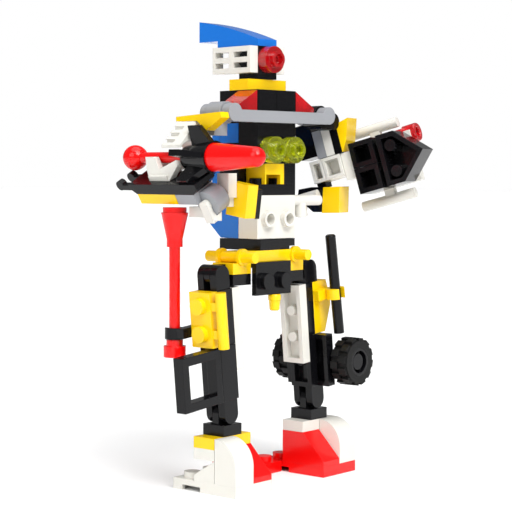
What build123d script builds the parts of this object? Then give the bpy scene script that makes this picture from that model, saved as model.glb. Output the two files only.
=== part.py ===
"""Brick-built mech figure: feet, leaning hinged legs, turning torso, two raised arms and a crested head.

Millimetres, +Z up.  -Y is the figure's front, +X its left.  Z = 0 is the ground under the soles.
"""
import os
from math import atan2, degrees, hypot

from build123d import *

# ---- brick system -------------------------------------------------------------------------------
PITCH = 8.0  # distance between stud centres
PLATE = 3.2  # height of a plate, a third of a brick
BRICK = 9.6
GAP = 0.1  # each piece is this much short of its grid lines
STUD_D = 4.8
STUD_H = 1.7
WALL = 1.45
ROOF = 1.0
TUBE_D = 6.4
PIN_D = 3.0
BAR_D = 3.18  # hand-held bars and everything that a clip holds
CLIP_PLAY = 0.06  # radial play of a clip or ring round its bar
CLIP_WALL = 1.2
LIP = 1.6  # blunt edge left at the low end of a slope

# ---- hinges -------------------------------------------------------------------------------------
BARREL_R = 2.9
FINGER = 2.2  # thickness of one hinge finger
FINGER_PLAY = 0.2  # side play between fingers, and radial play of the pin
HINGE_PIN_D = 1.8

# ---- feet and legs ------------------------------------------------------------------------------
FOOT_X = 20.0  # ankle centre lines
FOOT_REAR = 8.0
LEG_Y = -4.0  # hinge planes of both legs
ANKLE_Z = 22.2
LEG_LENGTH = 40.0  # ankle axis to hip axis
SWAY = 4.0  # both legs lean this much sideways at rest
TOE_RADIUS = 8.0
NOTCH_LENGTH = 7.0
NOTCH_HEIGHT = 1.5
FRAME_POST = 2.5  # bars of the open frame on the right leg
FRAME_DEPTH = 3.4
HANDLE_REACH = 2.6  # bar centre in front of the handle plate
LANCE_Y = 5.0
LANCE_RISE = 16.3  # the lance's foot above the ankle axis
LANCE_LENGTH = 42.6
ROD_LENGTH = 30.4
ROD_BELOW = 12.4  # rod below its clip
ROD_TILT = 3.2  # the rod leans this much more than the leg
WHEEL_D = 14.5
WHEEL_WIDTH = 6.0
AXLE_D = 3.0
AXLE_PLAY = 0.15
AXLE_OFFSET = 7.6  # axle beside the leg's hinge line
AXLE_RISE = 10.8  # axle above the ankle, along the leg
TRACK = 16.0  # between the inner faces of the two wheels

# ---- hips, torso and head -----------------------------------------------------------------------
TORSO_TURN = -4.67
BELT_ROD_LENGTH = 18.0
FLANGE_D = 4.9
CHEST_HEIGHT = 6.0
LAMP_HEIGHT = 8.0  # the lamp brick lies on its side
COLLAR_HEIGHT = 3.8
LAMP_SHIFT = 0.8  # lamps sit this far left of the centre line
SHOULDER_SPAN = 39.2  # between the two shoulder pins
KNOB_D = 5.2
BEAM_DEPTH = 2.8
BEAM_HEIGHT = 3.4
WING_SPAN = 8.0
CREST_LENGTH = 25.0
CREST_RISE = 8.4

# ---- right arm ----------------------------------------------------------------------------------
CANNON_X = -30.0
CANNON_DROP = 12.8  # cannon axis below the shoulder axis
BALL_Y = 20.3
BALL_D = 7.4
COLLAR_REAR = -2.5
COLLAR_LENGTH = 11.0
NOSE_LENGTH = 18.5
NOSE_D = 8.3
NOSE_TIP_D = 5.6
FIN_REACH = 9.0
TRAY_ROLL = 30.0

# ---- left arm -----------------------------------------------------------------------------------
LEFT_YAW = -74.65
LEFT_PITCH = 15.7
FIST_BAR_LENGTH = 17.6

PIECES = {}


def turned(frame, about_x=0.0, about_y=0.0, about_z=0.0):
    """The same frame turned about its own axes."""
    return Plane(frame.location * Rotation(about_x, about_y, about_z))


TORSO = turned(Plane.XY, about_z=TORSO_TURN)


def keep(name, *pieces):
    """Remember the finished piece, or pieces, that make one named node."""
    PIECES[name] = pieces


def node_part(pieces):
    """One part for a node; neighbours in a group stay separate solids."""
    if len(pieces) == 1:
        return pieces[0].part
    return Part([solid for piece in pieces for solid in piece.part.solids()])


# ---- shapes shared by many pieces; each adds to the part being built ------------------------------
def block(frame, x, y, z, mode=Mode.ADD):
    """A box between two values on each axis of a frame."""
    with BuildSketch(frame.offset(z[0])) as face:
        with Locations(((x[0] + x[1]) / 2, (y[0] + y[1]) / 2)):
            Rectangle(x[1] - x[0], y[1] - y[0])
    extrude(face.sketch, amount=z[1] - z[0], mode=mode)


def prism(frame, outline, low, high, mode=Mode.ADD):
    """A closed outline in a frame's XY plane, extruded between two heights."""
    with BuildSketch(frame.offset(low)) as face:
        with BuildLine():
            Polyline(*outline, close=True)
        make_face()
    extrude(face.sketch, amount=high - low, mode=mode)


def rod(frame, x, y, low, high, diameter, mode=Mode.ADD, tip=None):
    """A round bar along a frame's Z axis; tip gives a smaller or larger far end."""
    with BuildSketch(frame.offset(low)) as root_face:
        with Locations((x, y)):
            Circle(diameter / 2)
    if tip is None:
        extrude(root_face.sketch, amount=high - low, mode=mode)
        return
    with BuildSketch(frame.offset(high)) as tip_face:
        with Locations((x, y)):
            Circle(tip / 2)
    loft([root_face.sketch.face(), tip_face.sketch.face()], mode=mode)


def cells(low, high):
    """Centres of the grid cells between two grid lines."""
    count = round((high - low) / PITCH)
    return [low + PITCH * (i + 0.5) for i in range(count)]


def studs(frame, x, y, top, bore=0.0):
    """One stud on each cell; a bore makes them open studs."""
    for cx in cells(*x):
        for cy in cells(*y):
            rod(frame, cx, cy, top, top + STUD_H, STUD_D)
            if bore:
                rod(frame, cx, cy, top - ROOF, top + STUD_H, bore, Mode.SUBTRACT)


def hollow(frame, x, y, low, roof):
    """The open underside of a piece: a cavity with tubes or pins that grip the studs below."""
    inset = GAP + WALL
    inside_x, inside_y = (x[0] + inset, x[1] - inset), (y[0] + inset, y[1] - inset)
    block(frame, inside_x, inside_y, (low, roof), Mode.SUBTRACT)
    columns, rows = cells(*x), cells(*y)
    if len(columns) > 1 and len(rows) > 1:
        for cx in columns[:-1]:
            for cy in rows[:-1]:
                rod(frame, cx + PITCH / 2, cy + PITCH / 2, low, roof, TUBE_D)
                rod(frame, cx + PITCH / 2, cy + PITCH / 2, low, roof, STUD_D, Mode.SUBTRACT)
    elif len(columns) > 1:
        for cx in columns[:-1]:
            rod(frame, cx + PITCH / 2, rows[0], low, roof, PIN_D)
    else:
        for cy in rows[:-1]:
            rod(frame, columns[0], cy + PITCH / 2, low, roof, PIN_D)


def brick(frame, x, y, low, height=PLATE, knobs=True, bore=0.0):
    """A brick or plate between grid lines, open below, with or without studs."""
    block(frame, (x[0] + GAP, x[1] - GAP), (y[0] + GAP, y[1] - GAP), (low, low + height))
    hollow(frame, x, y, low, low + height - ROOF)
    if knobs:
        studs(frame, x, y, low + height, bore)


def hinge_fork(frame):
    """Two fingers, a barrel and a pin round a frame's Z axis, reaching out along its +Y to a plate."""
    inner, outer = FINGER / 2 + FINGER_PLAY, FINGER / 2 + FINGER_PLAY + FINGER
    for near, far in ((-outer, -inner), (inner, outer)):
        rod(frame, 0, 0, near, far, 2 * BARREL_R)
        block(frame, (-BARREL_R, BARREL_R), (0, PITCH / 2 + GAP), (near, far))
    rod(frame, 0, 0, -outer, outer, HINGE_PIN_D)


def hinge_tongue(frame, reach):
    """One centre finger with its pin hole, reaching out along a frame's -Y to a plate."""
    half = FINGER / 2
    rod(frame, 0, 0, -half, half, 2 * BARREL_R)
    block(frame, (-BARREL_R, BARREL_R), (-reach, 0), (-half, half))
    rod(frame, 0, 0, -half, half, HINGE_PIN_D + 2 * FINGER_PLAY, Mode.SUBTRACT)


def clip_ring(frame, x, y, low, high, opening):
    """An open ring that snaps round a bar along a frame's Z axis; it opens at an angle in degrees."""
    inner = BAR_D + 2 * CLIP_PLAY
    rod(frame, x, y, low, high, inner + 2 * CLIP_WALL)
    rod(frame, x, y, low, high, inner, Mode.SUBTRACT)
    middle = Plane(frame.from_local_coords((x, y, 0)), x_dir=frame.x_dir, z_dir=frame.z_dir)
    mouth = turned(middle, about_z=opening)
    half = BAR_D * 0.42
    block(mouth, (0, inner), (-half, half), (low, high), Mode.SUBTRACT)


# ==== feet ========================================================================================
SOLE_TOP = PLATE
HEEL_TOP = SOLE_TOP + 2 * PLATE
JUMPER_LOW = SOLE_TOP + BRICK
JUMPER_TOP = JUMPER_LOW + PLATE
CELL_Y = (LEG_Y - PITCH / 2, LEG_Y + PITCH / 2)  # the row that carries the leg
TOE_Y = (CELL_Y[0] - PITCH, CELL_Y[0])


def across(side, near, far):
    """An X range given by its distances from the middle, on the right (-1) or left (+1) side."""
    return (near, far) if side > 0 else (-far, -near)


def outer_cells(side):
    return across(side, FOOT_X, FOOT_X + PITCH)


def inner_cells(side):
    return across(side, FOOT_X - PITCH, FOOT_X)


def sole(side):
    """A two by three plate with a finger notch in both long walls."""
    x = across(side, FOOT_X - PITCH, FOOT_X + PITCH)
    brick(Plane.XY, x, (TOE_Y[0], FOOT_REAR), 0)
    notch = (FOOT_REAR - 3.5 - NOTCH_LENGTH, FOOT_REAR - 3.5)
    for wall in (x[0], x[1] - GAP - WALL):
        block(Plane.XY, (wall - 1, wall + WALL + GAP), notch, (0, NOTCH_HEIGHT), Mode.SUBTRACT)


with BuildPart() as right_sole:
    sole(-1)
keep("right_sole", right_sole)

with BuildPart() as left_sole:
    sole(1)
keep("left_sole", left_sole)

SIDE = Plane.YZ  # local X runs to the rear, local Y up, local Z to the left

with BuildPart() as toe_caps:
    for side in (-1, 1):
        x = outer_cells(side)
        front, rear = TOE_Y[0] + GAP, TOE_Y[1] - GAP
        top = HEEL_TOP + 2 * PLATE
        with BuildSketch(SIDE.offset(x[0] + GAP)) as cap_face:
            with BuildLine():
                rise = Line((front, SOLE_TOP), (front, top - TOE_RADIUS + 2 * GAP))
                curve = RadiusArc(rise @ 1, (rear, top), TOE_RADIUS - 2 * GAP)
                Polyline(curve @ 1, (rear, SOLE_TOP), (front, SOLE_TOP))
            make_face()
        extrude(cap_face.sketch, amount=PITCH - 2 * GAP)
        hollow(Plane.XY, x, TOE_Y, SOLE_TOP, SOLE_TOP + STUD_H + 2 * ROOF)

with BuildPart() as heel_stacks:
    for side in (-1, 1):
        x = outer_cells(side)
        front, rear = CELL_Y[0] + GAP, CELL_Y[1] - GAP
        wedge = [(front, SOLE_TOP), (rear, SOLE_TOP), (rear, SOLE_TOP + LIP), (front, HEEL_TOP)]
        prism(SIDE, wedge, x[0] + GAP, x[1] - GAP)
        hollow(Plane.XY, x, CELL_Y, SOLE_TOP, SOLE_TOP + STUD_H + 0.1)
        brick(Plane.XY, outer_cells(side), CELL_Y, HEEL_TOP)
keep("white_foot_bricks", toe_caps, heel_stacks)

with BuildPart() as instep_slopes:
    for side in (-1, 1):
        x = inner_cells(side)
        front, middle, rear = TOE_Y[0] + GAP, TOE_Y[1], CELL_Y[1] - GAP
        slope = [
            (front, SOLE_TOP),
            (rear, SOLE_TOP),
            (rear, JUMPER_LOW),
            (middle, JUMPER_LOW),
            (front, SOLE_TOP + LIP),
        ]
        prism(SIDE, slope, x[0] + GAP, x[1] - GAP)
        hollow(Plane.XY, x, CELL_Y, SOLE_TOP, JUMPER_LOW - ROOF)
        hollow(Plane.XY, x, TOE_Y, SOLE_TOP, SOLE_TOP + STUD_H + 0.1)
        studs(Plane.XY, x, CELL_Y, JUMPER_LOW)
keep("instep_slopes", instep_slopes)


def jumper(side):
    """A one by two plate with a single stud on its middle."""
    brick(Plane.XY, across(side, FOOT_X - PITCH, FOOT_X + PITCH), CELL_Y, JUMPER_LOW, knobs=False)
    rod(Plane.XY, side * FOOT_X, LEG_Y, JUMPER_TOP, JUMPER_TOP + STUD_H, STUD_D)


with BuildPart() as right_foot_jumper:
    jumper(-1)
keep("right_foot_jumper", right_foot_jumper)

with BuildPart() as left_foot_jumper:
    jumper(1)
keep("left_foot_jumper", left_foot_jumper)

BRACKET_TOP = JUMPER_TOP + PLATE


def hinge_frame(x, z, turn=0.0):
    """A frame on a hinge axis: Z along the axis to the front, Y up before it is turned about the axis."""
    return turned(Plane((x, LEG_Y, z), x_dir=(1, 0, 0), z_dir=(0, -1, 0)), about_z=turn)


with BuildPart() as ankle_brackets:
    for side in (-1, 1):
        x = across(side, FOOT_X - PITCH / 2, FOOT_X + PITCH / 2)
        brick(Plane.XY, x, CELL_Y, JUMPER_TOP, knobs=False)
        hinge_tongue(hinge_frame(side * FOOT_X, ANKLE_Z), ANKLE_Z - BRACKET_TOP + GAP)
keep("ankle_brackets", ankle_brackets)

with BuildPart() as foot_link:
    link_x = (PITCH - FOOT_X, FOOT_X - PITCH)
    brick(Plane.XY, link_x, (FOOT_REAR - PITCH, FOOT_REAR), 0)
keep("foot_link", foot_link)

# ==== legs ========================================================================================
LEAN = degrees(atan2(SWAY, (LEG_LENGTH**2 - SWAY**2) ** 0.5))
HIP_Z = ANKLE_Z + (LEG_LENGTH**2 - SWAY**2) ** 0.5
HIP_X = {-1: -FOOT_X - SWAY, 1: FOOT_X - SWAY}


def leg_frame(side):
    """The frame of a leg: Y runs from ankle to hip, X to the figure's left, Z to the front."""
    return hinge_frame(side * FOOT_X, ANKLE_Z, LEAN)


# A leg plate lies with its studs sideways.  Its own frame has Z out of the studs, X up the leg.
def leg_layer(side, inner, facing):
    """A frame for a plate on a leg: its base is at X = inner and its studs face -X or +X."""
    leg = leg_frame(side)
    origin = leg.from_local_coords((inner, 0, 0))
    return Plane(origin, x_dir=leg.y_dir, z_dir=leg.x_dir * facing)


LEG_LOW = PITCH / 2
LEG_MID = LEG_LENGTH / 2
LEG_HIGH = LEG_LENGTH - PITCH / 2
ACROSS_LEG = (-PITCH / 2, PITCH / 2)


def leg_hinges(side, base, facing):
    """Two hinge plates end to end; the lower ends in the ankle fork, the upper in the hip fork."""
    layer = leg_layer(side, base, facing)
    brick(layer, (LEG_LOW, LEG_MID), ACROSS_LEG, 0, knobs=False)
    hinge_fork(leg_frame(side))
    with Locations(Location((0, 0, 0))):
        brick(layer, (LEG_MID, LEG_HIGH), ACROSS_LEG, 0, knobs=False)
    top = leg_frame(side).from_local_coords((0, LEG_LENGTH, 0))
    hinge_fork(hinge_frame(top.X, top.Z, LEAN + 180))


with BuildPart() as right_leg_hinges:
    leg_hinges(-1, 0.0, 1)

with BuildPart() as right_leg_plate:
    brick(leg_layer(-1, 0.0, -1), (LEG_LOW, LEG_HIGH), ACROSS_LEG, 0, knobs=False)
keep("right_leg_beams", right_leg_hinges, right_leg_plate)

with BuildPart() as right_knee_plate:
    brick(leg_layer(-1, PLATE, 1), (LEG_LOW + PITCH, LEG_HIGH), ACROSS_LEG, 0, knobs=False)
keep("right_knee_plate", right_knee_plate)

with BuildPart() as thigh_handle:
    thigh = leg_layer(-1, -PLATE, -1)
    brick(thigh, (LEG_MID, LEG_HIGH), ACROSS_LEG, 0)
    # the layer's Y points to the rear or the front; the leg frame's Z is always the front
    handle = Plane(leg_frame(-1).origin, x_dir=leg_frame(-1).z_dir, z_dir=leg_frame(-1).y_dir)
    mid = 1.5 * PLATE
    reach = PITCH / 2 + HANDLE_REACH
    rod(handle, reach, -mid, LEG_MID, LEG_HIGH, BAR_D)
    for height in (LEG_MID + PITCH / 2, LEG_HIGH - PITCH / 2):
        arm_z = (height - 1.2, height + 1.2)
        block(handle, (PITCH / 2 - GAP, reach), (-mid - 1.2, -mid + 1.2), arm_z)
keep("thigh_handle", thigh_handle)

with BuildPart() as shin_frame:
    leg = leg_frame(-1)
    outer_x = (-PLATE - 2 * PITCH, -PLATE - GAP)
    outer_y = (LEG_LOW + GAP, LEG_LOW + 2 * PITCH - 4 * GAP)
    half = PITCH / 2 - GAP
    block(leg, outer_x, outer_y, (half - FRAME_DEPTH, half))
    open_x = (outer_x[0] + FRAME_POST, outer_x[1] - FRAME_POST)
    open_y = (outer_y[0] + FRAME_POST, outer_y[1] - FRAME_POST)
    block(leg, open_x, open_y, (half - FRAME_DEPTH, half), Mode.SUBTRACT)
keep("shin_frame", shin_frame)

# the lance hangs upright beside the leg
LANCE_LOW = ANKLE_Z + LANCE_RISE
CLIP_HEIGHT = PLATE
clip_at = leg_frame(-1).from_local_coords((-2.5 * PLATE, LEG_MID + PITCH / 2, 0))
LANCE_X = clip_at.X
CLIP_Z = clip_at.Z

with BuildPart() as lance_clip:
    clip_ring(Plane.XY, LANCE_X, LANCE_Y, CLIP_Z - CLIP_HEIGHT / 2, CLIP_Z + CLIP_HEIGHT / 2, 90)
    behind = leg_frame(-1)
    tab_z = (-(LANCE_Y - LEG_Y) + BAR_D / 2 + CLIP_PLAY + CLIP_WALL / 2, -PITCH / 2 - 0.05)
    block(behind, (-3 * PLATE, -PLATE), (LEG_MID + 2.9, LEG_MID + PITCH - 2.2), tab_z)
keep("lance_clip", lance_clip)

with BuildPart() as lance:
    # from the foot up: foot, lower collar, bar, upper collar, flared cup and its rim
    with BuildSketch(Plane.XZ.offset(-LANCE_Y)) as half_profile:
        with BuildLine():
            Polyline(
                (LANCE_X, LANCE_LOW),
                (LANCE_X + 3.2, LANCE_LOW),
                (LANCE_X + 3.2, LANCE_LOW + 3.2),
                (LANCE_X + 2.4, LANCE_LOW + 3.2),
                (LANCE_X + 2.4, LANCE_LOW + 5.0),
                (LANCE_X + BAR_D / 2, LANCE_LOW + 5.0),
                (LANCE_X + BAR_D / 2, LANCE_LOW + LANCE_LENGTH - 11.2),
                (LANCE_X + 2.3, LANCE_LOW + LANCE_LENGTH - 11.2),
                (LANCE_X + 2.3, LANCE_LOW + LANCE_LENGTH - 9.0),
                (LANCE_X + 3.9, LANCE_LOW + LANCE_LENGTH - 1.5),
                (LANCE_X + 3.4, LANCE_LOW + LANCE_LENGTH - 1.5),
                (LANCE_X + 3.4, LANCE_LOW + LANCE_LENGTH),
                (LANCE_X, LANCE_LOW + LANCE_LENGTH),
                close=True,
            )
        make_face()
    revolve(half_profile.sketch, axis=Axis((LANCE_X, LANCE_Y, 0), (0, 0, 1)))
    lance_top = LANCE_LOW + LANCE_LENGTH
    rod(Plane.XY, LANCE_X, LANCE_Y, lance_top - 4.0, lance_top, BAR_D + 0.1, Mode.SUBTRACT)
keep("lance", lance)

# ---- left leg ------------------------------------------------------------------------------------
with BuildPart() as left_leg_hinges:
    leg_hinges(1, -PLATE, 1)
keep("left_leg_hinges", left_leg_hinges)

with BuildPart() as left_knee_plate:
    brick(leg_layer(1, -2 * PLATE, 1), (LEG_LOW + PITCH, LEG_HIGH), ACROSS_LEG, 0, knobs=False)
keep("left_knee_plate", left_knee_plate)

WEDGE_OUT = 8.2
CLIP_MID = LEG_HIGH - PITCH / 2

with BuildPart() as left_thigh_wedge:
    leg = leg_frame(1)
    wedge = [
        (PLATE, LEG_MID + GAP),
        (PLATE + STUD_H, LEG_MID + GAP),
        (WEDGE_OUT, LEG_MID + PITCH),
        (WEDGE_OUT, LEG_MID + PITCH + 2.0),
        (2 * PLATE + 0.2, LEG_HIGH - GAP),
        (PLATE, LEG_HIGH - GAP),
    ]
    prism(leg, wedge, -PITCH / 2 + GAP, PITCH / 2 - GAP)
    hollow(leg_layer(1, PLATE, 1), (LEG_MID, LEG_HIGH), ACROSS_LEG, 0, STUD_H + 0.1)

ROD_SIDE = 1.75 * PLATE
ROD_FRONT = PITCH / 2 + 4.2
left_up = leg_frame(1)
rod_at = left_up.from_local_coords((ROD_SIDE, CLIP_MID, ROD_FRONT))
rod_level = Plane(rod_at, x_dir=left_up.x_dir, z_dir=left_up.y_dir)
ROD_FRAME = turned(rod_level, about_y=-ROD_TILT)  # its Z runs up the rod, its -Y to the front

with BuildPart() as left_thigh_plate:
    brick(leg_layer(1, 0.0, 1), (LEG_MID, LEG_HIGH), ACROSS_LEG, 0)
    clip_ring(ROD_FRAME, 0, 0, -1.6, 1.6, -90)
    grip = BAR_D / 2 + CLIP_PLAY + CLIP_WALL / 2
    block(ROD_FRAME, (-ROD_SIDE + GAP, 0.6), (grip, ROD_FRONT - PITCH / 2 + 2 * GAP), (-1.6, 1.6))
    block(ROD_FRAME, (-ROD_SIDE + GAP, 2.2 - ROD_SIDE + PLATE), (grip, ROD_FRONT), (-1.6, 1.6))

with BuildPart() as antenna_rod:
    rod(ROD_FRAME, 0, 0, -ROD_BELOW, ROD_LENGTH - ROD_BELOW, BAR_D)
    chamfer(antenna_rod.faces().sort_by(Axis.Z)[-1].edges(), 0.4)
keep("left_thigh_bricks", left_thigh_plate, left_thigh_wedge)
keep("antenna_rod", antenna_rod)

axle_at = left_up.from_local_coords((AXLE_OFFSET, AXLE_RISE, 0))
AXLE_FRAME = Plane(axle_at, x_dir=left_up.x_dir, z_dir=left_up.z_dir)
WHEEL_IN = TRACK / 2 + 0.4

with BuildPart() as wheel_holder:
    brick(leg_layer(1, 0.0, 1), (LEG_LOW, LEG_MID), (-PITCH, PITCH), 0, knobs=False)
    for inward, outward in ((-TRACK / 2, -TRACK / 2 + 3.0), (TRACK / 2 - 3.0, TRACK / 2)):
        cheek = (-AXLE_OFFSET + PLATE - ROOF, 0)
        block(AXLE_FRAME, cheek, (-3.0, 3.0), (inward, outward))
        rod(AXLE_FRAME, 0, 0, inward, outward, 6.0)
        rod(AXLE_FRAME, 0, 0, inward, outward, AXLE_D + 2 * AXLE_PLAY, Mode.SUBTRACT)
keep("wheel_holder", wheel_holder)

TYRE_SHOULDER = 1.0
HUB_D = 8.4


def wheel_place(which):
    """A frame on one wheel's inner face, Z pointing outward: -1 is the rear wheel, +1 the front."""
    origin = AXLE_FRAME.from_local_coords((0, 0, which * WHEEL_IN))
    return Plane(origin, x_dir=AXLE_FRAME.x_dir, z_dir=AXLE_FRAME.z_dir * which)


def tyre(place):
    """A rubber ring with rounded shoulders and a row of tread blocks."""
    core = WHEEL_D - 1.6
    rod(place, 0, 0, 0, WHEEL_WIDTH, core)
    for row, low in ((0, 0.3), (1, WHEEL_WIDTH / 2 + 0.2)):
        for i in range(12):
            spoke = turned(place, about_z=30 * i + 15 * row)
            block(spoke, (core / 2 - 0.4, WHEEL_D / 2), (-1.1, 1.1), (low, low + WHEEL_WIDTH / 2 - 0.5))
    rod(place, 0, 0, 0, WHEEL_WIDTH, HUB_D, Mode.SUBTRACT)


def hub(place):
    """A rim with a web and six ribs."""
    rod(place, 0, 0, 0, WHEEL_WIDTH, HUB_D)
    rod(place, 0, 0, WHEEL_WIDTH * 0.55, WHEEL_WIDTH, HUB_D - 1.6, Mode.SUBTRACT)
    rod(place, 0, 0, WHEEL_WIDTH * 0.5, WHEEL_WIDTH * 0.9, AXLE_D + 2.0)
    for i in range(6):
        spoke = turned(place, about_z=60 * i)
        block(spoke, (AXLE_D / 2 + 0.8, HUB_D / 2 - 0.5), (-0.4, 0.4), (WHEEL_WIDTH * 0.5, WHEEL_WIDTH * 0.8))


with BuildPart() as tyres:
    for which in (-1, 1):
        tyre(wheel_place(which))
keep("tyres", tyres)

# both hubs turn on one axle that runs through the holder's cheeks
with BuildPart() as hubs:
    for which in (-1, 1):
        hub(wheel_place(which))
    end = WHEEL_IN + WHEEL_WIDTH * 0.85
    rod(AXLE_FRAME, 0, 0, -end, end, AXLE_D)
keep("hubs", hubs)

# ==== hips ========================================================================================
SPACER_TOP = HIP_Z + PLATE
BELT_TOP = SPACER_TOP + PLATE
HIP_TOP = BELT_TOP + PLATE
BODY_Y = CELL_Y  # the row of cells that the belt and the front of the torso use
MIDDLE_X = (HIP_X[-1] + HIP_X[1]) / 2
HANG_X = {side: (MIDDLE_X + side * 12 - 4, MIDDLE_X + side * 12 + 4) for side in (-1, 1)}

with BuildPart() as hip_hinges:
    for side in (-1, 1):
        brick(Plane.XY, HANG_X[side], BODY_Y, HIP_Z - PLATE, knobs=False)
        tongue = hinge_frame(HIP_X[side], HIP_Z, -side * 90)
        reach = abs(HIP_X[side] - MIDDLE_X) - 16 + GAP
        hinge_tongue(tongue, reach)
        block(Plane.XY, HANG_X[side], BODY_Y, (HIP_Z, HIP_Z + BARREL_R + 1), Mode.SUBTRACT)
keep("hip_hinges", hip_hinges)

with BuildPart() as hip_spacers:
    for side in (-1, 1):
        brick(Plane.XY, HANG_X[side], BODY_Y, HIP_Z, knobs=False)

with BuildPart() as belt:
    ends = (MIDDLE_X - 12, MIDDLE_X + 12)
    block(Plane.XY, ends, (BODY_Y[0] + GAP, BODY_Y[1] - GAP), (SPACER_TOP, BELT_TOP))
    along = Plane((0, LEG_Y, (SPACER_TOP + BELT_TOP) / 2), x_dir=(1, 0, 0), z_dir=(0, -1, 0))
    for x in ends:
        rod(along, x, 0, -BELT_ROD_LENGTH / 2, BELT_ROD_LENGTH / 2, BAR_D)
        for y in (-PITCH / 2 - 0.6, PITCH / 2 - 0.6):
            rod(along, x, 0, y, y + 1.2, FLANGE_D)
    under_belt = (SPACER_TOP - 1, SPACER_TOP)
    block(Plane.XY, (ends[0] - 4, ends[1] + 4), BODY_Y, under_belt, Mode.SUBTRACT)

keep("belt", belt, hip_spacers)

BRACKET_X = (MIDDLE_X - PITCH, MIDDLE_X + PITCH)
with BuildPart() as crotch_bracket:
    drop = (SPACER_TOP - BRICK, SPACER_TOP)
    front_plane = BODY_Y[0] - GAP
    inside = (BRACKET_X[0] + GAP, BRACKET_X[1] - GAP)
    block(Plane.XY, inside, (front_plane - 1.6, front_plane), drop)
    block(Plane.XY, inside, (front_plane - 1.6, BODY_Y[1] - GAP), (SPACER_TOP - 1.6, SPACER_TOP))
    face_frame = Plane((0, front_plane, 0), x_dir=(1, 0, 0), z_dir=(0, -1, 0))
    stud_z = SPACER_TOP - BRICK + 4.0
    studs(face_frame, BRACKET_X, (stud_z - 4, stud_z + 4), 1.6)
keep("crotch_bracket", crotch_bracket)

TURNTABLE_D = 6.0
with BuildPart() as hip_plate:
    brick(Plane.XY, (-PITCH, PITCH), (-PITCH, PITCH), BELT_TOP, knobs=False)
    rod(Plane.XY, 0, 0, HIP_TOP, HIP_TOP + 1.2, TURNTABLE_D)
    # a notch over the flanges of the belt's end rod
    notch_x = (MIDDLE_X + 12 - FLANGE_D / 2 - GAP, PITCH + 1)
    block(Plane.XY, notch_x, (-PITCH - 1, 1), (BELT_TOP - 1, BELT_TOP + 1), Mode.SUBTRACT)
keep("hip_plate", hip_plate)

# ==== torso =======================================================================================
BODY_X = (-PITCH, PITCH)
BODY_FRONT = (-PITCH, 0.0)
BODY_REAR = (0.0, PITCH)
WAIST_TOP = HIP_TOP + BRICK
BAR_TOP = WAIST_TOP + PLATE
BELLY_TOP = BAR_TOP + PLATE
CHEST_TOP = BELLY_TOP + CHEST_HEIGHT
LAMP_TOP = CHEST_TOP + LAMP_HEIGHT
COLLAR_TOP = LAMP_TOP + COLLAR_HEIGHT
NECK_LOW = COLLAR_TOP + BRICK
NECK_TOP = NECK_LOW + PLATE
TURN_GAP = 0.15  # the torso floats this much above the hip plate


def facing_front(y):
    """A frame on a plane facing the front of the torso: X to the left, Y up, Z forward."""
    origin = TORSO.from_local_coords((0, y, 0))
    return Plane(origin, x_dir=TORSO.x_dir, z_dir=-TORSO.y_dir)


with BuildPart() as waist_brick:
    low = HIP_TOP + TURN_GAP
    block(TORSO, (BODY_X[0] + GAP, BODY_X[1] - GAP), (BODY_FRONT[0] + GAP, -GAP), (low, WAIST_TOP))
    hollow(TORSO, BODY_X, BODY_FRONT, low, WAIST_TOP - ROOF)
    studs(TORSO, BODY_X, BODY_FRONT, WAIST_TOP)
    stud_mid = HIP_TOP + 5.9
    studs(facing_front(0), BODY_X, (stud_mid - 4, stud_mid + 4), PITCH - GAP, bore=PIN_D + 0.2)
    rod(Plane.XY, 0, 0, low, HIP_TOP + 1.4, TURNTABLE_D + 0.3, Mode.SUBTRACT)

with BuildPart() as waist_bar_plate:
    brick(TORSO, BODY_X, BODY_FRONT, WAIST_TOP)
    bar_at = TORSO.from_local_coords((0, BODY_FRONT[0] + 1.8, WAIST_TOP + PLATE / 2))
    bar_axis = Plane(bar_at, x_dir=TORSO.y_dir, z_dir=TORSO.x_dir)
    rod(bar_axis, 0, 0, PITCH - 0.5, PITCH + 12.0, BAR_D)
    rod(TORSO, PITCH + 4.0, BODY_FRONT[0] + 1.8, WAIST_TOP - 3.4, WAIST_TOP + 1.0, 3.6)

with BuildPart() as belly_plate:
    brick(TORSO, BODY_X, (-PITCH, PITCH), BAR_TOP)
keep("belly_plate", belly_plate)

CHEST_X = (-4.8, 3.2)
with BuildPart() as chest_arch:
    block(TORSO, (CHEST_X[0], CHEST_X[1] - GAP), (BODY_FRONT[0] + GAP, -GAP), (BELLY_TOP, CHEST_TOP))
    arch_z = (BELLY_TOP, BELLY_TOP + 2.8)
    block(TORSO, (CHEST_X[0] + 0.5, CHEST_X[1] - 1.6), (BODY_FRONT[0], -3.0), arch_z, Mode.SUBTRACT)
    hollow(TORSO, (-4.0 - PITCH / 2, -4.0 + PITCH / 2), BODY_FRONT, BELLY_TOP, BELLY_TOP + STUD_H + 0.1)
    hollow(TORSO, (4.0 - PITCH / 2, 4.0 + PITCH / 2), BODY_FRONT, BELLY_TOP, BELLY_TOP + STUD_H + 0.1)
keep("chest_arch", chest_arch)

with BuildPart() as spine_brick:
    # fills the rear of the chest and the strip beside the arch
    brick(TORSO, BODY_X, BODY_REAR, BELLY_TOP, LAMP_TOP - BELLY_TOP - 2.0, knobs=False)
    block(TORSO, (CHEST_X[1], BODY_X[1] - GAP), (BODY_FRONT[0] + GAP, 1.0), (BELLY_TOP, CHEST_TOP))
    hollow(TORSO, (0, PITCH), BODY_FRONT, BELLY_TOP, BELLY_TOP + STUD_H + 0.1)

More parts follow.
